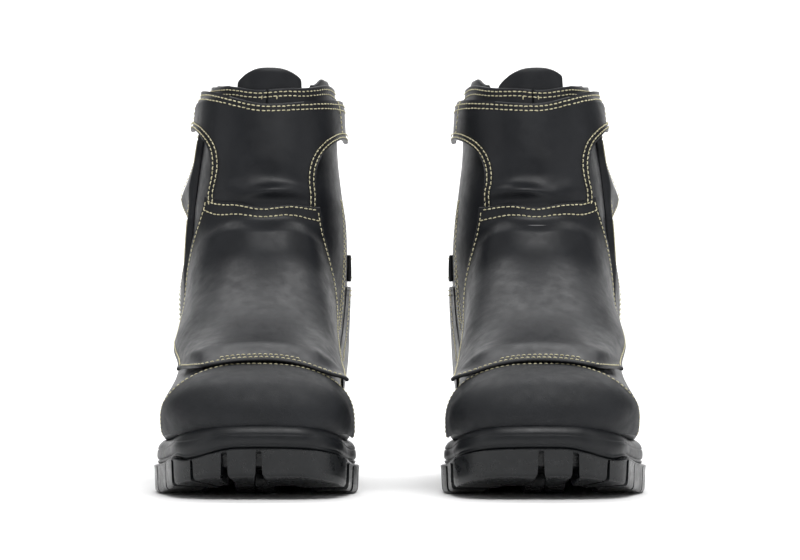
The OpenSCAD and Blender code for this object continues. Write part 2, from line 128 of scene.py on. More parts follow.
def outward(s, a, e=0.002):
    s = np.clip(s, e, LAST - e)
    return unit(np.cross(base(s, a + e) - base(s, a - e), base(s + e, a) - base(s - e, a)))


def skin(s, a, d):
    s, a, d = np.broadcast_arrays(*(np.asarray(x, float) for x in (s, a, d)))
    return base(s, a) + outward(s, a) * d[..., None]


def halve(test, low, high, steps=22):
    """Where test turns from true to false between low and high, for arrays, by halving."""
    low, high = np.broadcast_arrays(np.asarray(low, float), np.asarray(high, float))
    low, high = low.copy(), high.copy()
    for _ in range(steps):
        mid = (low + high) / 2
        ok = test(mid)
        low = np.where(ok, mid, low)
        high = np.where(ok, high, mid)
    return (low + high) / 2


def at_height(a, z):
    """Station where the line a reaches the height z."""
    a, z = np.broadcast_arrays(np.asarray(a, float), np.asarray(z, float))
    return halve(lambda s: base(s, a)[..., 2] < z, np.full(a.shape, 6.5), 20.0)


# ---- smooth noise, the same on every run --------------------------------------------------------

class Ripple:
    """A sum of plane waves in space, about -1 to 1, with a typical length in mm."""

    def __init__(self, seed, length, waves=9):
        rng = np.random.default_rng(seed)
        self.k = unit(rng.normal(size=(waves, 3))) * (2 * np.pi / length) * rng.uniform(
            0.6, 1.5, (waves, 1))
        self.phase = rng.uniform(0, 2 * np.pi, waves)
        self.scale = 1.6 / math.sqrt(waves)

    def __call__(self, p):
        return self.scale * np.sin(p @ self.k.T + self.phase).sum(-1) / math.sqrt(2)


# ---- materials ----------------------------------------------------------------------------------

def material(name, color, rough, build=None, metal=0.0, specular=0.5):
    m = bpy.data.materials.new(name)
    m.use_nodes = True
    t = m.node_tree
    bsdf = t.nodes["Principled BSDF"]
    bsdf.inputs["Base Color"].default_value = (*color, 1)
    bsdf.inputs["Roughness"].default_value = rough
    bsdf.inputs["Metallic"].default_value = metal
    bsdf.inputs["Specular IOR Level"].default_value = specular
    if build:
        build(t, bsdf)
    return m


def add(t, kind, **inputs):
    n = t.nodes.new(kind)
    for key, v in inputs.items():
        n.inputs[key.replace("_", " ")].default_value = v
    return n


def place_coords(t, stretch=None):
    c = t.nodes.new("ShaderNodeTexCoord")
    if stretch is None:
        return c.outputs["Object"]
    m = t.nodes.new("ShaderNodeMapping")
    m.inputs["Scale"].default_value = stretch
    t.links.new(c.outputs["Object"], m.inputs["Vector"])
    return m.outputs["Vector"]


def noise(t, coords, scale, detail=3.0, rough=0.5):
    n = add(t, "ShaderNodeTexNoise", Scale=scale, Detail=detail, Roughness=rough)
    t.links.new(coords, n.inputs["Vector"])
    return n.outputs["Fac"]


def cells(t, coords, scale, feature="DISTANCE_TO_EDGE"):
    n = add(t, "ShaderNodeTexVoronoi", Scale=scale)
    n.feature = feature
    t.links.new(coords, n.inputs["Vector"])
    return n.outputs["Distance"]


def remap(t, value, a, b, c, d):
    n = add(t, "ShaderNodeMapRange", From_Min=a, From_Max=b, To_Min=c, To_Max=d)
    t.links.new(value, n.inputs["Value"])
    return n.outputs["Result"]


def two_tone(t, bsdf, fac, dark, light):
    n = t.nodes.new("ShaderNodeMix")
    n.data_type = "RGBA"
    n.inputs["A"].default_value = (*dark, 1)
    n.inputs["B"].default_value = (*light, 1)
    t.links.new(fac, n.inputs["Factor"])
    t.links.new(n.outputs["Result"], bsdf.inputs["Base Color"])


def bumps(t, bsdf, *layers):
    """Stacks bump layers, each (value, strength, depth in metres)."""
    normal = None
    for value, strength, depth in layers:
        n = add(t, "ShaderNodeBump", Strength=strength, Distance=depth)
        t.links.new(value, n.inputs["Height"])
        if normal is not None:
            t.links.new(normal, n.inputs["Normal"])
        normal = n.outputs["Normal"]
    t.links.new(normal, bsdf.inputs["Normal"])


def leather_nodes(dark, light, rough, grain, depth):
    def build(t, bsdf):
        c = place_coords(t)
        two_tone(t, bsdf, remap(t, noise(t, c, 45, 4), 0.3, 0.7, 0, 1), dark, light)
        r = remap(t, noise(t, c, 160, 4), 0.3, 0.7, rough - 0.06, rough + 0.07)
        t.links.new(r, bsdf.inputs["Roughness"])
        bumps(t, bsdf, (cells(t, c, grain), 0.55, depth), (noise(t, c, 1900, 3), 0.35, depth * 0.7),
              (noise(t, c, 120, 3), 0.25, 0.0006))
    return build


def rubber_nodes(dark, light, rough):
    def build(t, bsdf):
        c = place_coords(t)
        two_tone(t, bsdf, remap(t, noise(t, c, 70, 3), 0.3, 0.7, 0, 1), dark, light)
        r = remap(t, noise(t, c, 220, 4), 0.3, 0.7, rough - 0.07, rough + 0.08)
        t.links.new(r, bsdf.inputs["Roughness"])
        bumps(t, bsdf, (noise(t, c, 2600, 2), 0.3, 0.00006), (noise(t, c, 260, 3), 0.2, 0.0003))
    return build


def knit_nodes(dark, light, scale, depth):
    def build(t, bsdf):
        c = place_coords(t, (1.0, 0.72, 0.8))
        d = cells(t, c, scale, "F1")
        two_tone(t, bsdf, remap(t, d, 0.1, 0.6, 1, 0), dark, light)
        bumps(t, bsdf, (d, 0.8, -depth), (noise(t, c, scale * 3, 2), 0.4, depth * 0.5))
    return build


def thread_nodes(t, bsdf):
    c = place_coords(t)
    two_tone(t, bsdf, remap(t, noise(t, c, 900, 2), 0.35, 0.65, 0, 1), (0.44, 0.40, 0.24), (0.66, 0.62, 0.42))
    bumps(t, bsdf, (noise(t, c, 5200, 2), 0.5, 0.00012))


def steel_nodes(t, bsdf):
    c = place_coords(t, (1.0, 0.04, 1.0))
    two_tone(t, bsdf, noise(t, c, 900, 3), (0.42, 0.43, 0.45), (0.62, 0.63, 0.65))
    bumps(t, bsdf, (noise(t, c, 1500, 2), 0.25, 0.00005))


LEATHER = material("leather", (0.012, 0.013, 0.016), 0.45,
                   leather_nodes((0.0048, 0.0055, 0.0074), (0.0082, 0.0092, 0.0116), 0.43, 1500, 0.00006),
                   specular=0.27)
SCUFF = material("scuff_leather", (0.012, 0.012, 0.014), 0.6,
                 leather_nodes((0.0062, 0.0070, 0.0086), (0.0112, 0.0124, 0.0148), 0.56, 1050, 0.00026),
                 specular=0.28)
SOLE = material("sole_rubber", (0.006, 0.007, 0.008), 0.3,
                rubber_nodes((0.0042, 0.0050, 0.0058), (0.0070, 0.0080, 0.0092), 0.30), specular=0.38)
MIDSOLE = material("midsole_rubber", (0.01, 0.011, 0.013), 0.45,
                   rubber_nodes((0.0056, 0.0064, 0.0078), (0.0090, 0.0100, 0.0116), 0.40), specular=0.30)
THREAD = material("thread", (0.6, 0.57, 0.38), 0.7, thread_nodes)
LINING = material("lining_mesh", (0.02, 0.02, 0.022), 0.9,
                  knit_nodes((0.008, 0.008, 0.009), (0.035, 0.036, 0.040), 620, 0.0005))
FOOTBED = material("footbed_felt", (0.04, 0.04, 0.042), 0.95,
                   knit_nodes((0.02, 0.02, 0.022), (0.05, 0.052, 0.057), 1500, 0.0002))
PILE = material("hook_and_loop", (0.012, 0.012, 0.013), 0.95,
                knit_nodes((0.005, 0.005, 0.006), (0.022, 0.023, 0.025), 1100, 0.0006))
BOARD = material("board", (0.5, 0.44, 0.32), 0.85,
                 knit_nodes((0.36, 0.31, 0.21), (0.52, 0.46, 0.34), 900, 0.0002))
STEEL = material("steel", (0.5, 0.5, 0.52), 0.35, steel_nodes, metal=1.0)
FOAM = material("foam", (0.05, 0.05, 0.055), 0.95,
                knit_nodes((0.03, 0.03, 0.033), (0.07, 0.07, 0.075), 2200, 0.0002))
PLATE = material("guard_plate", (0.06, 0.06, 0.065), 0.5,
                 rubber_nodes((0.04, 0.04, 0.043), (0.07, 0.07, 0.075), 0.5))

# ---- mesh building ------------------------------------------------------------------------------

class Boot:
    """What differs between the two boots: the side, its mirror and its own creases."""

    def __init__(self, side):
        self.side = side
        self.sign = 1 if side == "right" else -1
        self.seed = 11 if side == "right" else 53
        self.shell = f"{side}_boot"
        self.shroud = f"{side}_shroud"
        self.wings = (f"{side}_lateral_wing_body", f"{side}_medial_wing_body")
        self.tongue = f"{side}_tongue_body"

    def world(self, p):
        """Millimetres about the boot's centre line to metres in the frame."""
        p = np.asarray(p, float)
        return np.stack([self.sign * (p[..., 0] - PITCH), p[..., 1], p[..., 2]], -1) * MM

    def name(self, piece):
        return f"{self.side}_{piece}"


PITCH = 79.0


def mesh_piece(boot, piece, points, faces, mat, smooth_shade=True):
    """A mesh object from points in mm and faces, mirrored for the left boot."""
    v = boot.world(points)
    if boot.sign < 0:
        faces = [tuple(reversed(f)) for f in faces]
    mesh = bpy.data.meshes.new(boot.name(piece))
    mesh.from_pydata(v.tolist(), [], [tuple(int(i) for i in f) for f in faces])
    mesh.validate()
    mesh.polygons.foreach_set("use_smooth", [smooth_shade] * len(mesh.polygons))
    mesh.materials.append(mat)
    o = bpy.data.objects.new(boot.name(piece), mesh)
    bpy.context.scene.collection.objects.link(o)
    return o


def eased(n, length, radius, first=True, last=True):
    """Places from 0 to 1 with extra ones within radius of the ends."""
    r = min(radius / length, 0.3)
    arc = 1 - np.cos(np.radians([12, 35, 60, 90]))
    left = r * arc if first else []
    right = 1 - r * arc[::-1] if last else []
    t = np.concatenate([[0.0] if first else [], left, np.linspace(r if first else 0, 1 - r if last else 1, n)[
        (1 if first else 0):(-1 if last else None)], right, [1.0] if last else []])
    return t


def round_off(t, length, radius, first, last):
    """1 in the middle, falling along a quarter circle to a small value at a rounded end."""
    out = np.ones_like(t)
    for on, dist in ((first, t * length), (last, (1 - t) * length)):
        if on:
            e = np.clip(dist / radius, 0, 1)
            out = np.minimum(out, np.sqrt(np.maximum(1 - (1 - e) ** 2, 0.02)))
    return out


def grid_faces(nu, nv, offset=0, flip=False):
    i, j = np.meshgrid(np.arange(nu - 1), np.arange(nv - 1), indexing="ij")
    k = (i * nv + j).ravel() + offset
    f = np.stack([k, k + 1, k + nv + 1, k + nv], -1)
    return f[:, ::-1] if flip else f


def panel(boot, piece, place, inner, outer, mat, nu=60, nv=60, rounded=(1, 1, 1, 1), radius=None,
          wobble=0.25, wave=42.0, seed=0):
    """A sheet over the upper. place(u, v) gives s and a, inner and outer its faces.

    An edge marked 0 in rounded meets another sheet, so it is cut square and marked sharp.
    """
    value = lambda f, u, v: f(u, v) if callable(f) else np.full(np.broadcast(u, v).shape, float(f))
    mid = np.array([0.5])
    line = np.linspace(0, 1, 30)
    du = base(*place(line, np.full(30, 0.5)))
    dv = base(*place(np.full(30, 0.5), line))
    lu = np.linalg.norm(np.diff(du, axis=0), axis=1).sum()
    lv = np.linalg.norm(np.diff(dv, axis=0), axis=1).sum()
    thick = float(np.mean(value(outer, mid, mid) - value(inner, mid, mid)))
    r = radius or 0.55 * thick
    u = eased(nu, lu, r, rounded[0], rounded[1])
    v = eased(nv, lv, r, rounded[2], rounded[3])
    U, V = np.meshgrid(u, v, indexing="ij")
    shape = round_off(U, lu, r, rounded[0], rounded[1]) * round_off(V, lv, r, rounded[2], rounded[3])
    s, a = place(U, V)
    lo, hi = value(inner, U, V), value(outer, U, V)
    middle, half = (lo + hi) / 2, (hi - lo) / 2 * shape
    if wobble:
        middle = middle + wobble * 0.5 * (1 + Ripple(boot.seed + seed, wave)(base(s, a)))
    pts = np.concatenate([skin(s, a, middle + half).reshape(-1, 3), skin(s, a, middle - half).reshape(-1, 3)])
    n, m = len(u), len(v)
    k = n * m
    faces = [grid_faces(n, m), grid_faces(n, m, k, True)]
    border = np.concatenate([np.arange(m), m - 1 + m * np.arange(1, n), (n - 1) * m + np.arange(m - 2, -1, -1),
                             m * np.arange(n - 2, 0, -1)])
    nxt = np.roll(border, -1)
    faces.append(np.stack([border, border + k, nxt + k, nxt], -1))
    faces = np.concatenate(faces)
    turn = (np.diff(s, axis=0)[:, :-1] * np.diff(a, axis=1)[:-1]).sum() - (
        np.diff(s, axis=1)[:-1] * np.diff(a, axis=0)[:, :-1]).sum()
    if turn > 0:
        faces = faces[:, ::-1]
    o = mesh_piece(boot, piece, pts, faces.tolist(), mat)
    square = np.zeros((n, m), bool)
    for on, rows in zip(rounded, (np.s_[0, :], np.s_[-1, :], np.s_[:, 0], np.s_[:, -1])):
        if not on:
            square[rows] = True
    if square.any():
        square = np.tile(square.ravel(), 2)
        edges = np.empty(len(o.data.edges) * 2, int)
        o.data.edges.foreach_get("vertices", edges)
        edges = edges.reshape(-1, 2)
        sharp = square[edges].all(1) & ((edges[:, 0] < k) == (edges[:, 1] < k))
        o.data.attributes.new("sharp_edge", "BOOLEAN", "EDGE").data.foreach_set("value", sharp)
    return o


THREAD_R = 0.36     # half the thickness of a stitch
STITCH = 3.0        # from one stitch to the next
STITCH_LENGTH = 2.25
CAPSULE = [(-1.0, 0.35, -1.1), (-0.8, 0.8, -0.25), (-0.3, 1.0, 0.25), (0.3, 1.0, 0.25), (0.8, 0.8, -0.25), (1.0, 0.35, -1.1)]


def stitch_rows(boot, piece, rows, mat=None, pitch=STITCH, radius=THREAD_R):
    """Real stitches in rows. Each row is (curve, height): curve(t) gives s and a, height its d."""
    pts, faces = [], []
    rng = np.random.default_rng(boot.seed + sum(map(ord, piece)))
    sides = 6
    ring = np.linspace(0, 2 * np.pi, sides, endpoint=False)
    for curve, height in rows:
        t = np.linspace(0, 1, 600)
        s, a = curve(t)
        s, a = np.broadcast_arrays(np.asarray(s, float), np.asarray(a, float))
        d = height(s, a) if callable(height) else np.full(600, float(height))
        p = skin(s, a, d)
        nrm = outward(s, a)
        length = np.concatenate([[0], np.cumsum(np.linalg.norm(np.diff(p, axis=0), axis=1))])
        count = max(1, int(length[-1] // pitch))
        first = (length[-1] - count * pitch) / 2 + pitch / 2
        for k in range(count):
            mid = first + k * pitch + rng.uniform(-0.12, 0.12)
            half = STITCH_LENGTH / 2 * pitch / STITCH * rng.uniform(0.93, 1.07)
            ends = [np.array([np.interp(mid + e * half, length, p[:, c]) for c in range(3)]) for e in (-1, 1)]
            up = unit(np.array([np.interp(mid, length, nrm[:, c]) for c in range(3)]))
            along = unit(ends[1] - ends[0])
            across = unit(np.cross(up, along))
            up = np.cross(along, across)
            centre = (ends[0] + ends[1]) / 2 + across * rng.uniform(-0.1, 0.1)
            tilt = rng.normal(0, 0.05)
            along = unit(along + tilt * across)
            b = len(pts)
            for e, fat, lift in CAPSULE:
                c = centre + along * e * half + up * (lift * radius)
                for q in ring:
                    pts.append(c + radius * fat * (math.cos(q) * across + 0.85 * math.sin(q) * up))
            for i in range(len(CAPSULE) - 1):
                for j in range(sides):
                    x, y = b + i * sides + j, b + i * sides + (j + 1) % sides
                    faces.append((x, y, y + sides, x + sides))
            faces.append(tuple(b + j for j in range(sides))[::-1])
            faces.append(tuple(b + (len(CAPSULE) - 1) * sides + j for j in range(sides)))
    return mesh_piece(boot, piece, np.array(pts), faces, mat or THREAD)


def ride(obj, body, node=None):
    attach(obj, body)
    if node:
        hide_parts(node)
    return obj

# ---- sole ---------------------------------------------------------------------------------------

WELT = 6.0
LUG = 8.0
SPRING = 13.0


def power(t, p):
    return np.maximum(t, 0.0) ** p


def rim_z(y):
    return 28.5 + 12.3 * power((-60 - y) / 90, 2.5) + 10 * smooth((y + 30) / 130)


def seam_z(p):
    """Height of the seam between midsole and tread at plan points; it dips beside the lateral toe."""
    x, y = p[..., 0], p[..., 1]
    dip = 3.6 * bump(x, -34, 26) * smooth((-128 - y) / 14)
    return 15 + 13.5 * power((-60 - y) / 96, 2.1) + 5 * smooth((y + 20) / 120) - dip


def tread_z(y):
    return SPRING * power((-75 - y) / 81, 1.7) + 4 * power((y - 135) / 22, 1.5)


def over_rim(p):
    return p[..., 2] > rim_z(p[..., 1])


RIM_START = float(halve(lambda s: ~over_rim(base(s, 0.0)), 0.0, 2.0))
RIM_END = float(halve(lambda s: ~over_rim(base(s, 1.0)), 11.5, 13.5))
UPPER_START = RIM_START + 0.06


def rim_a(s):
    return halve(lambda a: over_rim(base(s, a)), np.zeros_like(s), 1.0)


def rim_s(a):
    """Station near the toe where the rim crosses the line a."""
    return halve(lambda s: ~over_rim(base(s, a)), np.full(np.shape(a), 0.3), 4.5)


def edge_w(y):
    """How far the sole's edge stands out from the rim, in plan."""
    return WELT + 0.7 * smooth((100 - np.abs(y + 60)) / 60) - 1.9 * smooth((y - 20) / 80)


class Rim:
    """The line where the upper meets the midsole, as one closed ring of n even steps."""

    def __init__(self, n):
        half = 400
        ease = (1 - np.cos(np.pi * np.arange(half) / half)) / 2
        s = np.concatenate([lerp(RIM_START, RIM_END, ease), lerp(RIM_END, RIM_START, ease)])
        side = np.repeat([-1.0, 1.0], half)
        a = rim_a(s)
        p = base(s, side * a)
        step = np.linalg.norm(np.diff(np.vstack([p, p[:1]]), axis=0), axis=1)
        length = np.concatenate([[0], np.cumsum(step)])
        at = np.linspace(0, length[-1], n, endpoint=False)
        wrap = lambda x: np.interp(at, length, np.append(x, x[0]))
        self.s = wrap(s)
        self.side = np.where(at < length[half], -1.0, 1.0)
        self.a = wrap(a)
        self.p = np.stack([wrap(p[:, c]) for c in range(3)], -1)
        t = np.roll(self.p, -1, 0) - np.roll(self.p, 1, 0)
        self.out = unit(np.stack([-t[:, 1], t[:, 0]], -1))
        self.n = n

    def edge(self, extra):
        """Plan of the sole's edge, extra millimetres outside its own outline."""
        return self.p[:, :2] + self.out * (edge_w(self.p[:, 1]) + extra)[:, None]

    def ring(self, extra, height):
        q = self.edge(extra)
        return np.column_stack([q, height(q[:, 1])])

    def cup(self, part, d):
        return skin(self.s, self.side * lerp(self.a, 0.97, part), np.full(self.n, d))


def ring_faces(rings, n, closed=True):
    faces = []
    for k in range(rings - 1):
        i = np.arange(n if closed else n - 1)
        j = (i + 1) % n
        faces.append(np.stack([k * n + i, k * n + j, (k + 1) * n + j, (k + 1) * n + i], -1))
    return np.concatenate(faces).tolist()


def strip_cap(start, n, up):
    """Faces across a ring from its first half to its second."""
    half = n // 2
    out = []
    for i in range(half):
        a, b, c, d = i, i + 1, (n - i - 1) % n, (n - i) % n
        f = [start + q for q in ((a, b, c) if i == 0 else (a, b, d) if i == half - 1 and c == b else (a, b, c, d))]
        out.append(tuple(f if up else reversed(f)))
    return out


def build_midsole(boot):
    rim = Rim(440)
    y = rim.p[:, 1]
    toe = smooth((-118 - y) / 22)
    rings = []
    # wall from the seam up to the rim: a rounded lip, two shallow grooves and a soft top edge,
    # each as height, distance outside the outline, and how far it keeps to the rim instead
    profile = [(0.00, -3.6, 0), (0.02, -2.7, 0), (0.06, -1.9, 0), (0.12, -1.5, 0), (0.16, -1.8, 0), (0.19, -2.5, 0),
               (0.22, -1.9, 0), (0.27, -1.4, 0), (0.36, -1.2, 0), (0.45, -1.2, 0), (0.55, -1.3, 0), (0.60, -1.5, 0),
               (0.63, -2.1, 0), (0.66, -1.6, 0), (0.70, -1.5, 0.05), (0.80, -1.7, 0.15), (0.88, -2.0, 0.3),
               (0.94, -2.4, 0.5), (0.98, -2.8, 0.7), (1.0, -3.2, 0.9)]
    for part, extra, keep in profile:
        e = np.full(rim.n, extra)
        if 0.13 < part < 0.24 or 0.59 < part < 0.67:
            e = lerp(e, -1.5, toe * 0.75)
        q = rim.p[:, :2] + rim.out * lerp(edge_w(y) + e, 1.4, keep)[:, None]
        z = lerp(seam_z(q) + 0.1, rim_z(y), part)
        rings.append(np.column_stack([q, z]))
    for part in (0.0, 0.08, 0.2, 0.45, 0.7, 1.0):
        rings.append(rim.cup(part, 0.4))
    faces = ring_faces(len(rings), rim.n)
    faces += strip_cap(0, rim.n, True) + strip_cap((len(rings) - 1) * rim.n, rim.n, False)
    o = mesh_piece(boot, "midsole", np.concatenate(rings), [f[::-1] for f in faces], MIDSOLE)
    ride(o, boot.shell, boot.name("midsole"))


def plan_block(rim, start, end, depth, outside, taper, crown):
    """One tread block: its outer face follows the sole's edge from step start to step end."""
    i = np.arange(start, end + 1)
    outer = rim.edge(outside)[i % rim.n]
    inner = rim.edge(outside - depth)[i % rim.n]
    inner = lerp(inner.mean(0), inner, taper)
    loop = np.concatenate([outer, inner[::-1]])
    middle = loop.mean(0)
    rings = []
    low, high = tread_z(loop[:, 1]), seam_z(loop) - 0.6
    for part, shrink in ((0.0, 1.9), (0.05, 1.0), (0.12, 0.45), (0.3, 0.15), (0.85, -0.2), (1.0, -0.5)):
        towards = unit(middle - loop)
        q = loop + towards * (shrink + crown * (1 - part))
        rings.append(np.column_stack([q, lerp(low, high, part)]))
    n = len(loop)
    pts = np.concatenate(rings + [np.array([[*middle, (low.mean())], [*middle, high.mean()]])])
    faces = [f for f in ring_faces(len(rings), n)]
    b, t = len(rings) * n, len(rings) * n + 1
    faces += [(b, (j + 1) % n, j) for j in range(n)]
    last = (len(rings) - 1) * n
    faces += [(t, last + j, last + (j + 1) % n) for j in range(n)]
    return pts, faces


def merge(parts):
    pts, faces, at = [], [], 0
    for p, f in parts:
        pts.append(p)
        faces += [tuple(i + at for i in face) for face in f]
        at += len(p)
    return np.concatenate(pts), faces


TOE_BLOCKS = (15.0, 17.0, 16.0, 15.0, 20.0)   # from the middle of the toe to the lateral corner


def build_outsole(boot):
    rim = Rim(440)
    n = rim.n
    # the body of the tread: a lip at the seam over a recessed wall
    rings = []
    for part, extra in ((0.0, -9.0), (0.0, -5.5), (0.1, -4.9), (0.62, -4.4), (0.74, -3.4), (0.80, -1.2), (0.84, 0.2),
                        (0.90, 0.7), (0.96, 0.6), (1.0, -0.4), (1.0, -4.0)):
        q = rim.edge(extra)
        rings.append(np.column_stack([q, lerp(tread_z(q[:, 1]) + LUG * 0.9, seam_z(q), part)]))
    faces = ring_faces(len(rings), n)
    faces += strip_cap(0, n, True) + strip_cap((len(rings) - 1) * n, n, False)
    parts = [(np.concatenate(rings), faces)]
    length = np.concatenate([[0], np.cumsum(np.linalg.norm(np.diff(rim.edge(0), axis=0), axis=1))])
    index = lambda mm: int(np.clip(np.searchsorted(length, mm), 0, n - 1))
    total = length[-1]
    # side blocks, alternately long and short, with gaps between them; the medial toe is a smooth bumper
    at = 1.5
    k = 0
    bumper = 60.0
    while at < total - bumper - 10:
        size = TOE_BLOCKS[k] if k < len(TOE_BLOCKS) else 13.5 if k % 2 == 0 else 12.0
        gap = lerp(2.4, 4.6, smooth((at - 90) / 30)) if at < total / 2 else 4.6
        parts.append(plan_block(rim, index(at), index(at + size), 25 if k % 2 == 0 else 21, 0.1, 0.86, 0.0))
        at += size + float(gap)
        k += 1
    parts.append(plan_block(rim, index(total - bumper), n - 1, 24, 0.2, 0.9, 0.0))
    # the centre block under the toe, and chevrons down the middle of the tread
    for row in range(13):
        y = -118 + row * 20
        half = 11.0 if y < 0 else 8.0
        for side in (-1, 1):
            xs = np.array([0.6, half, half, 0.6]) * side
            ys = y + np.array([-5.5, -1.5, 6.5, 3.0])
            loop = np.column_stack([xs, ys])
            if side < 0:
                loop = loop[::-1]
            m = loop.mean(0)
            rr = []
            for part, shrink in ((0.0, 0.9), (0.1, 0.3), (0.9, 0.0)):
                q = loop + unit(m - loop) * shrink
                rr.append(np.column_stack([q, lerp(tread_z(q[:, 1]), tread_z(q[:, 1]) + LUG, part)]))
            f = ring_faces(3, 4)
            parts.append((np.concatenate(rr), f + [(3, 2, 1, 0), (8, 9, 10, 11)]))
    pts, faces = merge(parts)
    o = mesh_piece(boot, "outsole", pts, [tuple(f)[::-1] for f in faces], SOLE, smooth_shade=True)
    sharpen(o, 38)
    ride(o, boot.shell, boot.name("outsole"))


def sharpen(o, degrees):
    """Marks edges sharper than an angle, so that the flats beside them shade flat."""
    o.data.update()
    import bmesh
    b = bmesh.new()
    b.from_mesh(o.data)
    bmesh.ops.recalc_face_normals(b, faces=b.faces)
    for e in b.edges:
        if len(e.link_faces) == 2 and e.calc_face_angle(0) > math.radians(degrees):
            e.smooth = False
    b.to_mesh(o.data)
    b.free()


# ---- upper --------------------------------------------------------------------------------------

LEATHER_T = 2.2
OVER = (0.5, 2.1)
UNDER_FACE = -LEATHER_T - 0.8
UNDER = (UNDER_FACE - 1.7, UNDER_FACE)
LINING_D = (UNDER[0] - 1.2, UNDER[0] - 0.3)
CLOSURE = (OVER[1] + 0.3, OVER[1] + 2)
BENT = 0.25


def vamp_end(a):
    return 10.4 - 2.2 * (np.abs(a) / MARGIN) ** 2


def scuff_end(a):
    """Station of the scuff cap's upper edge: it reaches less far back on the lateral side."""
    return np.maximum(5.15 - 1.2 * smooth((-a - 0.05) / 0.3), rim_s(np.abs(a)) + 0.45)


def build_vamp(boot):
    def place(u, v):
        a = lerp(-MARGIN, MARGIN, v)
        return lerp(UPPER_START, vamp_end(a), u), a
    o = panel(boot, "vamp", place, -LEATHER_T, 0.0, LEATHER, 110, 110, wobble=0)
    ride(o, boot.shell, boot.name("vamp"))

    def scuff(u, v):
        a = lerp(-0.66, 0.66, v)
        return lerp(rim_s(a) + 0.04, scuff_end(a), u), a
    o = panel(boot, "scuff_cap", scuff, 0.25, 1.9, SCUFF, 90, 140, wobble=0.15, wave=30)
    ride(o, boot.shell, boot.name("scuff_cap"))
    rows = [(lambda t: (scuff_end(lerp(-0.66, 0.66, t)) - 0.17, lerp(-0.66, 0.66, t)), 2.0)]
    o = stitch_rows(boot, "scuff_stitches", rows)
    ride(o, boot.shell, None)


def quarter_place(side):
    def place(u, v):
        turned_in = smooth((lerp(9, TOP, u) - 11.4) / 1.6)
        a = lerp(0.002, lerp(MARGIN, 0.994, turned_in), v)
        return lerp(vamp_end(a) + 0.02, top_line(side * a), u), side * a
    return place


def top_line(a):
    """Station of the top edge of the upper: lowest in front, with a slight wave along it."""
    away = np.abs((a + 1) % 2 - 1)
    return 18.86 + 0.26 * smooth(away / 0.38) - 0.12 * smooth((away - 0.5) / 0.4) + 0.03 * np.sin(24 * a)


def build_quarters(boot):
    for side, word in ((-1, "lateral"), (1, "medial")):
        o = panel(boot, f"{word}_quarter", quarter_place(side), -LEATHER_T, 0.0, LEATHER, 130, 110,
                  wobble=0.2, seed=3)
        ride(o, boot.shell, boot.name(f"{word}_quarter"))
    rows = []
    for drop in (0.16, 0.34):
        rows.append((lambda t, drop=drop: (top_line(lerp(-0.93, 0.93, t)) - drop, lerp(-0.93, 0.93, t)), 0.25))
    for a in (-0.026, 0.048):
        rows.append((lambda t, a=a: (lerp(18.3, 18.7, t), a), 0.35))
    for side in (-1, 1):
        for back in (0.03, 0.17):
            rows.append((lambda t, side=side, back=back: (vamp_end(side * lerp(0.3, 0.70, t)) + 0.12 + back,
                                                          side * lerp(0.3, 0.70, t)), 0.2))
    o = stitch_rows(boot, "quarter_stitches", rows)
    ride(o, boot.shell, None)


COVER_TOP = 114.0
COVER_FOOT = 40.5
BAND = (117.0, 133.0)


def build_heel(boot):
    def cover_face(u, v):
        """Outer face of the heel cover: pared thin along its front edges."""
        return lerp(0.6, OVER[1], smooth(np.minimum(v, 1 - v) / 0.07))

    def cover(u, v):
        a = lerp(-0.43, -1.56, v)
        low = np.maximum(10.2, at_height(a, COVER_FOOT))
        return lerp(low, at_height(a, COVER_TOP), u), a

    def sewn(u, v):
        """Inner face of the heel pieces: their front edges are sewn down on the quarters."""
        return lerp(-0.3, OVER[0] + BENT, smooth(np.minimum(v, 1 - v) / 0.05))
    o = panel(boot, "heel_cover", cover, sewn, cover_face, LEATHER, 60, 170, wobble=0.25, seed=5)
    ride(o, boot.shell, boot.name("heel_cover"))

    def band(u, v):
        a = lerp(-0.50, -1.53, v)
        return at_height(a, lerp(BAND[0], BAND[1], u)), a
    o = panel(boot, "ankle_band", band, sewn, OVER[1], LEATHER, 16, 150, wobble=0.3, wave=30, seed=6)
    ride(o, boot.shell, boot.name("ankle_band"))

    def stay(u, v):
        a = lerp(0.945, 1.055, v)
        return at_height(a, lerp(BAND[1] + 2, 226, u)), a
    o = panel(boot, "back_stay", stay, OVER[0], OVER[1], LEATHER, 70, 14, wobble=0.2, seed=7)
    ride(o, boot.shell, boot.name("back_stay"))

    rows = []
    for drop in (2.4, 5.2):
        rows.append((lambda t, drop=drop: (at_height(lerp(-0.44, -1.55, t), COVER_TOP - drop), lerp(-0.44, -1.55, t)), OVER[1] + 0.3))
    for z in (BAND[0] + 2.4, BAND[1] - 2.4):
        rows.append((lambda t, z=z: (at_height(lerp(-0.51, -1.52, t), z), lerp(-0.51, -1.52, t)), OVER[1] + 0.35))
    for a in (0.952, 1.048):
        rows.append((lambda t, a=a: (at_height(np.full(t.shape, a), lerp(BAND[1] + 3, 225, t)), a), OVER[1] + 0.25))
    for a in (-0.445, -1.545):
        rows.append((lambda t, a=a: (lerp(10.4, at_height(np.full(t.shape, a), COVER_TOP - 3), t), a), OVER[1] + 0.3))
    o = stitch_rows(boot, "heel_stitches", rows)
    ride(o, boot.shell, None)


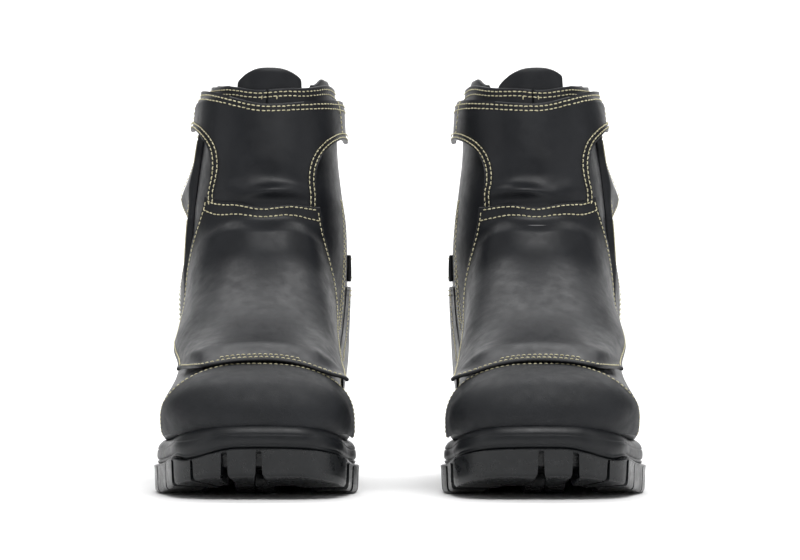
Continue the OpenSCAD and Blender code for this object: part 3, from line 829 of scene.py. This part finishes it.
def build_inside(boot):
    def collar(u, v):
        a = lerp(-0.25, -1.75, v)
        medial_corner = 0.22 * smooth(1.5 - np.abs(a + 1.63) / 0.07) * (1 + 0.14 * np.sin(60 * a))
        return lerp(COLLAR_FROM, top_line(a) + 0.06 + medial_corner, u), a
    puff = lambda u, v: -4.8 - 4.0 * np.sqrt(np.clip(np.sin(np.pi * np.clip(u, 0.02, 0.98)), 0, 1)) * (
        0.9 + 0.1 * np.cos(26 * np.pi * v))
    o = panel(boot, "collar", collar, puff, UNDER_FACE, LEATHER, 40, 170, radius=2.2, wobble=0.2, seed=8)
    ride(o, boot.shell, boot.name("collar"))

    def lining(u, v):
        a = lerp(-0.20, -1.80, v)
        start = lerp(8, 15.3, smooth((0.22 - np.abs(np.abs(a) - 1)) / 0.14 + 0.5))
        return lerp(start, COLLAR_FROM - 0.1, u), a
    o = panel(boot, "lining", lining, LINING_D[0], LINING_D[1], LINING, 90, 140, wobble=0)
    ride(o, boot.shell, boot.name("lining"))

    def bed(u, v):
        return lerp(1.3, 11.8, u), lerp(0.80, 1.20, v)
    o = panel(boot, "footbed", bed, UNDER[0] - 4.5, UNDER[0] - 0.65, FOOTBED, 90, 40, radius=1.6, wobble=0)
    ride(o, boot.shell, boot.name("footbed"))

    o = panel(boot, "tongue", tongue_place(boot), lambda u, v: UNDER_FACE - 2.7 - 3 * smooth(u / 0.4) + 1.6 * hill(np.abs(2 * v - 1), 1, 0.25),
              UNDER_FACE - 0.2, LEATHER, 90, 40, radius=1.9, wobble=0.5, wave=34, seed=9)
    ride(o, boot.tongue, boot.name("tongue"))
    rows = [(lambda t, a=a: (lerp(12, 18.6, t), a), UNDER_FACE - 0.05) for a in (-0.125, 0.125)]
    o = stitch_rows(boot, "tongue_stitches", rows)
    ride(o, boot.tongue, None)


def tongue_half(s):
    return 0.145 + 0.047 * smooth((s - 18) / 0.4)


def tongue_place(boot):
    lean = 0.04 if boot.side == "right" else -0.15

    def place(u, v):
        t = 2 * v - 1
        top = 19.84 - 0.56 * np.abs(t - lean) ** 2.6
        s = lerp(10.9, top, u)
        return s, t * tongue_half(s)
    return place


def closure_back(s):
    """Back edge of the closure panel: a scallop, a tab, and a longer scallop."""
    long_one = smooth((s - 13.7) / 0.4) * smooth((15.2 - s) / 0.35)
    return -0.575 + 0.125 * bump(s, 16.95, 0.8) + 0.125 * long_one


def build_closure(boot):
    start, end, front = 12.7, 18.3, -0.405

    def place(u, v):
        s = lerp(start, end, u)
        return s, lerp(front, closure_back(s), v)

    def stands_out(s):
        """The tab and the lowest part of the panel stand away from the boot."""
        return 8.0 * bump(s, 16.0, 0.75) + 4.5 * smooth((14.0 - s) / 0.3)

    def low(u, v):
        sewn = lerp(-0.3, CLOSURE[0], smooth(v / 0.15))
        return sewn + v * stands_out(lerp(start, end, u))
    o = panel(boot, "closure_panel", place, low, lambda u, v: low(u, v) + 1.7, LEATHER, 170, 40, wobble=0, seed=12)
    ride(o, boot.shell, boot.name("closure_panel"))
    over = CLOSURE[1] + 0.2
    rows = [(lambda t: (lerp(12.8, 18.2, t), front - 0.03), over)]
    for back in (0.016, 0.036):
        rows.append((lambda t, back=back: (lerp(13.0, 18.0, t), closure_back(lerp(13.0, 18.0, t)) + back),
                     lambda s, a: over + 0.87 * stands_out(s)))
    o = stitch_rows(boot, "closure_stitches", rows)
    ride(o, boot.shell, None)

    rows = []
    for a in (0.388, 0.408):
        rows.append((lambda t, a=a: (lerp(11.4, 15.5, t), a), 0.25))
    o = stitch_rows(boot, "medial_seam_stitches", rows)
    ride(o, boot.shell, None)

    for side, word, levels in ((-1, "lateral", ((4.4, 4.9), (5.15, 5.6))), (1, "medial", ((0.3, 1.6), (1.9, 3.1)))):
        patch = lambda u, v, side=side: (lerp(17.75, 18.3, u), side * lerp(0.345, 0.455, v))
        for kind, (low, high), body in (("loop", levels[0], boot.shell), ("hook", levels[1], boot.wings[0 if side < 0 else 1])):
            o = panel(boot, f"{word}_{kind}_patch", patch, low, high, PILE, 16, 30, wobble=0)
            ride(o, body, boot.name(f"{word}_{kind}_patch"))


# ---- shroud -------------------------------------------------------------------------------------

SHROUD_T = 2.1
LATERAL_FLAP, MEDIAL_FLAP, MIDDLE_FLAP = 6.0, 3.4, 1.2
CUT = (-0.165, 0.160)        # where the flap's middle and its wings are joined
WING_END = (-0.49, 0.50)
GUARD_TOP, GUARD_FOOT = 14.15, 4.95
GUARD_BULGE, GUARD_FLARE = 5.0, 3.0


def shroud_d(s, a):
    side = np.where(a < 0, LATERAL_FLAP, MEDIAL_FLAP)
    out = smooth((np.abs(a) - 0.08) / 0.22) * smooth((s - 13.9) / 0.9) * (1 - 0.6 * smooth((s - 18.35) / 0.4))
    return lerp(MIDDLE_FLAP, side, out)


def shroud_top(a):
    return 18.22 + np.where(a < 0, 0.72 * (1 - np.exp(-(a / 0.22) ** 2)), 0.44 * (1 - np.exp(-(a / 0.28) ** 2)))


def curve_through(points):
    """A smooth line through a few given points (s, a), with t from 0 to 1."""
    p = np.array(points, float)
    step = np.concatenate([[0], np.cumsum(np.hypot(np.diff(p[:, 0]), 18 * np.diff(p[:, 1])))])
    step /= step[-1]
    full = np.vstack([2 * p[0] - p[1], p, 2 * p[-1] - p[-2]])

    def at(t):
        t = np.asarray(t, float)
        i = np.clip(np.searchsorted(step, t, side="right") - 1, 0, len(p) - 2)
        u = ((t - step[i]) / (step[i + 1] - step[i]))[..., None]
        q0, q1, q2, q3 = (full[i + k] for k in range(4))
        r = 0.5 * (2 * q1 + (q2 - q0) * u + (2 * q0 - 5 * q1 + 4 * q2 - q3) * u**2 + (3 * q1 - q0 - 3 * q2 + q3) * u**3)
        return r[..., 0], r[..., 1]
    return at


# Lower edge of each wing, from under the guard up and round to the tip
WING_EDGE = (
    curve_through([(13.6, -0.222), (14.6, -0.215), (15.4, -0.207), (16.1, -0.215), (16.7, -0.243), (17.2, -0.300),
                   (17.5, -0.370), (17.62, -0.430), (17.66, -0.49)]),
    curve_through([(13.6, 0.196), (14.3, 0.190), (15.2, 0.187), (15.8, 0.198), (16.35, 0.228), (16.8, 0.278),
                   (17.15, 0.350), (17.3, 0.420), (17.36, 0.50)]),
)


def creases(boot):
    """Folds of the flap over the instep, just above the guard."""
    m = -0.02 if boot.side == "right" else 0.0

    def at(s, a):
        ridge = 4.2 * hill(s, 14.5 + 0.8 * a, 0.26) * hill(a, 0.055 + m, 0.10)
        valley = -1.5 * hill(s, 15.25, 0.42) * hill(a, 0.02 + m, 0.08)
        return ridge + valley + 0.9 * hill(s, 14.5 - 2 * a, 0.3) * hill(a, -0.13, 0.05)
    return at


def build_shroud(boot):
    fold = creases(boot)
    dip = Ripple(boot.seed + 21, 55)

    def flap_place(u, v):
        half = smooth(4 * u - 1.4)
        a = lerp(lerp(-0.15, CUT[0], half), lerp(0.15, CUT[1], half), v)
        return lerp(GUARD_FOOT + 0.4, shroud_top(a), u), a

    def face(place, t):
        def at(u, v):
            s, a = place(u, v)
            return shroud_d(s, a) + t + fold(s, a) + 0.5 * smooth((s - 14) / 1.5) * (1 + dip(base(s, a)))
        return at
    o = panel(boot, "front_flap", flap_place, face(flap_place, 0), face(flap_place, SHROUD_T), LEATHER, 190, 70,
              rounded=(1, 1, 0, 0), wobble=0)
    ride(o, boot.shroud, boot.name("front_flap"))

    stitches = {"flap": []}
    on_flap = lambda s, a: shroud_d(s, a) + SHROUD_T + 0.15 + fold(s, a) + 0.5 * smooth((s - 14) / 1.5) * (1 + dip(base(s, a)))
    for drop in (0.15, 0.33):
        stitches["flap"].append((lambda t, drop=drop: (shroud_top(lerp(-0.170, 0.165, t)) - drop, lerp(-0.170, 0.165, t)),
                                 on_flap))
    o = stitch_rows(boot, "flap_stitches", stitches["flap"])
    ride(o, boot.shroud, None)

    for i, word in enumerate(("lateral", "medial")):
        edge = WING_EDGE[i]
        bend = 0.62 if i == 0 else 0.60

        def inner_line(t, i=i, bend=bend):
            up = np.clip(t / bend, 0, 1)
            out = np.clip((t - bend) / (1 - bend), 0, 1)
            a = lerp(CUT[i], WING_END[i], out)
            s = np.where(t < bend, lerp(13.6, shroud_top(CUT[i]), up), shroud_top(a))
            return s, a

        def wing_place(u, v, edge=edge, inner_line=inner_line):
            s0, a0 = inner_line(v)
            s1, a1 = edge(v)
            return lerp(s1, s0, u), lerp(a1, a0, u)

        def hem(u, v, t, place=wing_place):
            s, a = place(u, v)
            roll = 1.3 * smooth((0.16 - u) / 0.16) * smooth((v - 0.1) / 0.3)
            return shroud_d(s, a) + t + fold(s, a) + 0.5 * smooth((s - 14) / 1.5) * (1 + dip(base(s, a))) + roll * (t > 0)
        o = panel(boot, f"{word}_wing", wing_place, lambda u, v, h=hem: h(u, v, 0), lambda u, v, h=hem: h(u, v, SHROUD_T),
                  LEATHER, 60, 130, rounded=(1, 0, 0, 1), wobble=0)
        wing_stitches = []
        for inset in (1.9, 4.4):
            def row(t, inset=inset, place=wing_place):
                v = lerp(0.02, 0.995, t)
                far = np.linalg.norm(base(*place(np.ones_like(v), v)) - base(*place(np.zeros_like(v), v)), axis=-1)
                return place(np.clip(inset / far, 0, 1), v)
            wing_stitches.append((row, lambda s, a: on_flap(s, a) + 0.8))
        for drop in (0.15, 0.33):
            wing_stitches.append((lambda t, drop=drop, i=i: (shroud_top(lerp(CUT[i], WING_END[i], t)) - drop,
                                                            lerp(CUT[i], WING_END[i], t)), on_flap))
        line = (-0.44, -0.43) if i == 0 else (0.35, 0.385)
        wing_stitches.append((lambda t, line=line, i=i: (lerp(18.6, 17.75 if i == 0 else 17.4, t), lerp(*line, t)), on_flap))
        st = stitch_rows(boot, f"{word}_wing_stitches", wing_stitches)
        start = boot.world(skin(17.3, (-0.222, 0.212)[i], 4.0)).tolist()
        end = boot.world(skin(17.3, (-0.31, 0.30)[i], 5.0)).tolist()
        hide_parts(boot.name(f"{word}_wing"))
        for q in (o, st):
            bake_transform(q)


def guard_half(a, s):
    tuck = smooth((9 - s) / 4)
    lateral = 0.232 + 0.150 * smooth((14.3 - s) / 4.6) - 0.112 * tuck
    medial = 0.198 + 0.155 * smooth((14.3 - s) / 5.4) - 0.045 * tuck
    return np.where(a < 0, lateral, medial)


def guard_line(a):
    """Station of the guard's upper edge: a shallow wave, higher on the lateral side."""
    wave = 0.07 * np.cos(30 * (a - 0.10)) * smooth(1.2 - np.abs(a) / 0.25)
    return 13.86 + np.where(a < 0, 18.0, 11.0) * a * a + wave


def guard_place(u, v):
    t = 2 * v - 1
    half = guard_half(t, lerp(GUARD_FOOT, GUARD_TOP, u))
    a = t * half
    raised = 1.45 * smooth((-t - 0.6) / 0.4) - 0.15 * hill(t, -0.55, 0.2) + 0.05 * np.sin(5 * t)
    return lerp(GUARD_FOOT + raised, guard_line(a), u), a


def guard_d(u, v):
    """Inner face of the guard: full in the middle, close along its seams, curling at the low corners."""
    t = np.abs(2 * v - 1)
    seam = lerp(2.4, 3.7, smooth(u / 0.1))
    lateral = 1.2 * smooth((0.8 - u) / 0.5) + 3.4 * hill(u, 0.40, 0.24)
    flare = np.where(v < 0.5, lateral, GUARD_FLARE * smooth((0.6 - u) / 0.5))
    low_edge = 1.4 + flare * smooth((t - 0.45) / 0.4)
    edge = lerp(low_edge, seam + 0.3, smooth((u - 0.45) / 0.22))
    curl = np.where(v < 0.5, 0.5, 2.0) * hill(u, 0.0, 0.12) * smooth((t - 0.78) / 0.2)
    full = GUARD_BULGE * smooth((u - 0.005) / 0.12) * smooth((0.94 - u) / 0.12)
    return lerp(seam + full, edge + curl, smooth((t - 0.55) / 0.45))


def build_guard(boot):
    dent = Ripple(boot.seed + 33, 60)

    def face(t):
        def at(u, v):
            s, a = guard_place(u, v)
            return guard_d(u, v) + t + 0.35 * dent(base(s, a))
        return at
    o = panel(boot, "guard_cover", guard_place, face(0), face(SHROUD_T), LEATHER, 170, 130, wobble=0)
    ride(o, boot.shroud, boot.name("guard_cover"))

    def row(path):
        """A stitch row given in the guard's own u and v, with the height of the leather there."""
        def curve(t):
            return guard_place(*path(t))

        def height(s, a):
            return face(SHROUD_T)(*path(np.linspace(0, 1, 600))) + 0.15
        return curve, height
    one = lambda t: np.ones_like(t)
    rows = [row(lambda t: (0.986 * one(t), lerp(0.03, 0.97, t))), row(lambda t: (0.942 * one(t), lerp(0.02, 0.98, t))),
            row(lambda t: (lerp(0.02, 0.985, t), 0.028 * one(t))), row(lambda t: (lerp(0.02, 0.985, t), 0.972 * one(t))),
            row(lambda t: (0.014 * one(t), lerp(0.04, 0.96, t))), row(lambda t: (0.034 * one(t), lerp(0.28, 0.74, t)))]
    o = stitch_rows(boot, "guard_stitches", rows)
    ride(o, boot.shroud, None)
    for piece, low, high, mat, slot in (("guard_foam", 3.7, 6.3, FOAM, "guard_foam"),
                                        ("guard_plate", 6.6, 8.0, PLATE, "guard_plate_plastic")):
        inside = lambda u, v: (lerp(6.3, 12.8, u), lerp(-0.15, 0.15, v))
        o = panel(boot, piece, inside, low, high, mat, 60, 50, wobble=0)
        ride(o, boot.shroud, boot.name(piece))


# ---- both boots ---------------------------------------------------------------------------------

for side in SIDES:
    boot = Boot(side)
    build_outsole(boot)
    build_midsole(boot)
    build_vamp(boot)
    build_quarters(boot)
    build_heel(boot)
    build_inside(boot)
    build_closure(boot)
    build_shroud(boot)
    build_guard(boot)
    for piece, mat in (("toe_cap", STEEL), ("shank", STEEL), ("insole_board", BOARD), ("heel_counter", BOARD)):
        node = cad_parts[boot.name(piece)]
        for slot_at in range(len(node.material_slots)):
            node.material_slots[slot_at].material = mat

# ---- floor, light and camera --------------------------------------------------------------------

def stage_sheet():
    """Floor and backdrop as one sheet, with a wide curve between them."""
    width, near, far, bend, top = 6.0, -3.2, 1.6, 0.9, 3.0
    line = [(near, 0.0), (far, 0.0)]
    line += [(far + bend * math.sin(q), bend * (1 - math.cos(q))) for q in np.linspace(0.08, math.pi / 2, 20)]
    line.append((far + bend, top))
    v = [(x, y, z) for y, z in line for x in (-width / 2, width / 2)]
    f = [(2 * i, 2 * i + 1, 2 * i + 3, 2 * i + 2) for i in range(len(line) - 1)]
    mesh = bpy.data.meshes.new("stage_floor")
    mesh.from_pydata(v, [], f)
    mesh.polygons.foreach_set("use_smooth", [True] * len(f))
    mesh.materials.append(material("stage_white", (0.93, 0.93, 0.93), 0.6, specular=0.2))
    o = bpy.data.objects.new("stage_floor", mesh)
    bpy.context.scene.collection.objects.link(o)


def area_light(name, place, aim, size, watts, color=(1, 1, 1)):
    light = bpy.data.lights.new(name, "AREA")
    light.shape = "RECTANGLE"
    light.size, light.size_y = size
    light.energy = watts
    light.color = color
    o = bpy.data.objects.new(name, light)
    from mathutils import Vector
    o.location = place
    o.rotation_euler = (Vector(aim) - Vector(place)).to_track_quat("-Z", "Y").to_euler()
    bpy.context.scene.collection.objects.link(o)


stage_sheet()
area_light("key", (0.25, -1.5, 2.1), (0, -0.02, 0.1), (1.6, 1.2), 46)
area_light("left_fill", (-1.9, -0.9, 0.9), (0, 0, 0.1), (1.0, 1.6), 5.5)
area_light("right_fill", (1.9, -0.9, 0.9), (0, 0, 0.1), (1.0, 1.6), 5.5)
area_light("back", (0, 1.0, 2.2), (0, 1.9, 0.3), (2.6, 1.0), 60)

world = bpy.data.worlds.new("studio")
world.use_nodes = True
world.node_tree.nodes["Background"].inputs["Color"].default_value = (1, 1, 1, 1)
world.node_tree.nodes["Background"].inputs["Strength"].default_value = 0.35
bpy.context.scene.world = world
bpy.context.scene.view_settings.view_transform = "Standard"

CAMERA_BACK = 2.056
CAMERA_HEIGHT = 0.118
camera = bpy.data.cameras.new("camera")
camera.sensor_width = 36
camera.lens = 160.2
view = bpy.data.objects.new("camera", camera)
view.location = (0, -CAMERA_BACK, CAMERA_HEIGHT)
view.rotation_euler = (math.pi / 2, 0, 0)
bpy.context.scene.collection.objects.link(view)
bpy.context.scene.camera = view
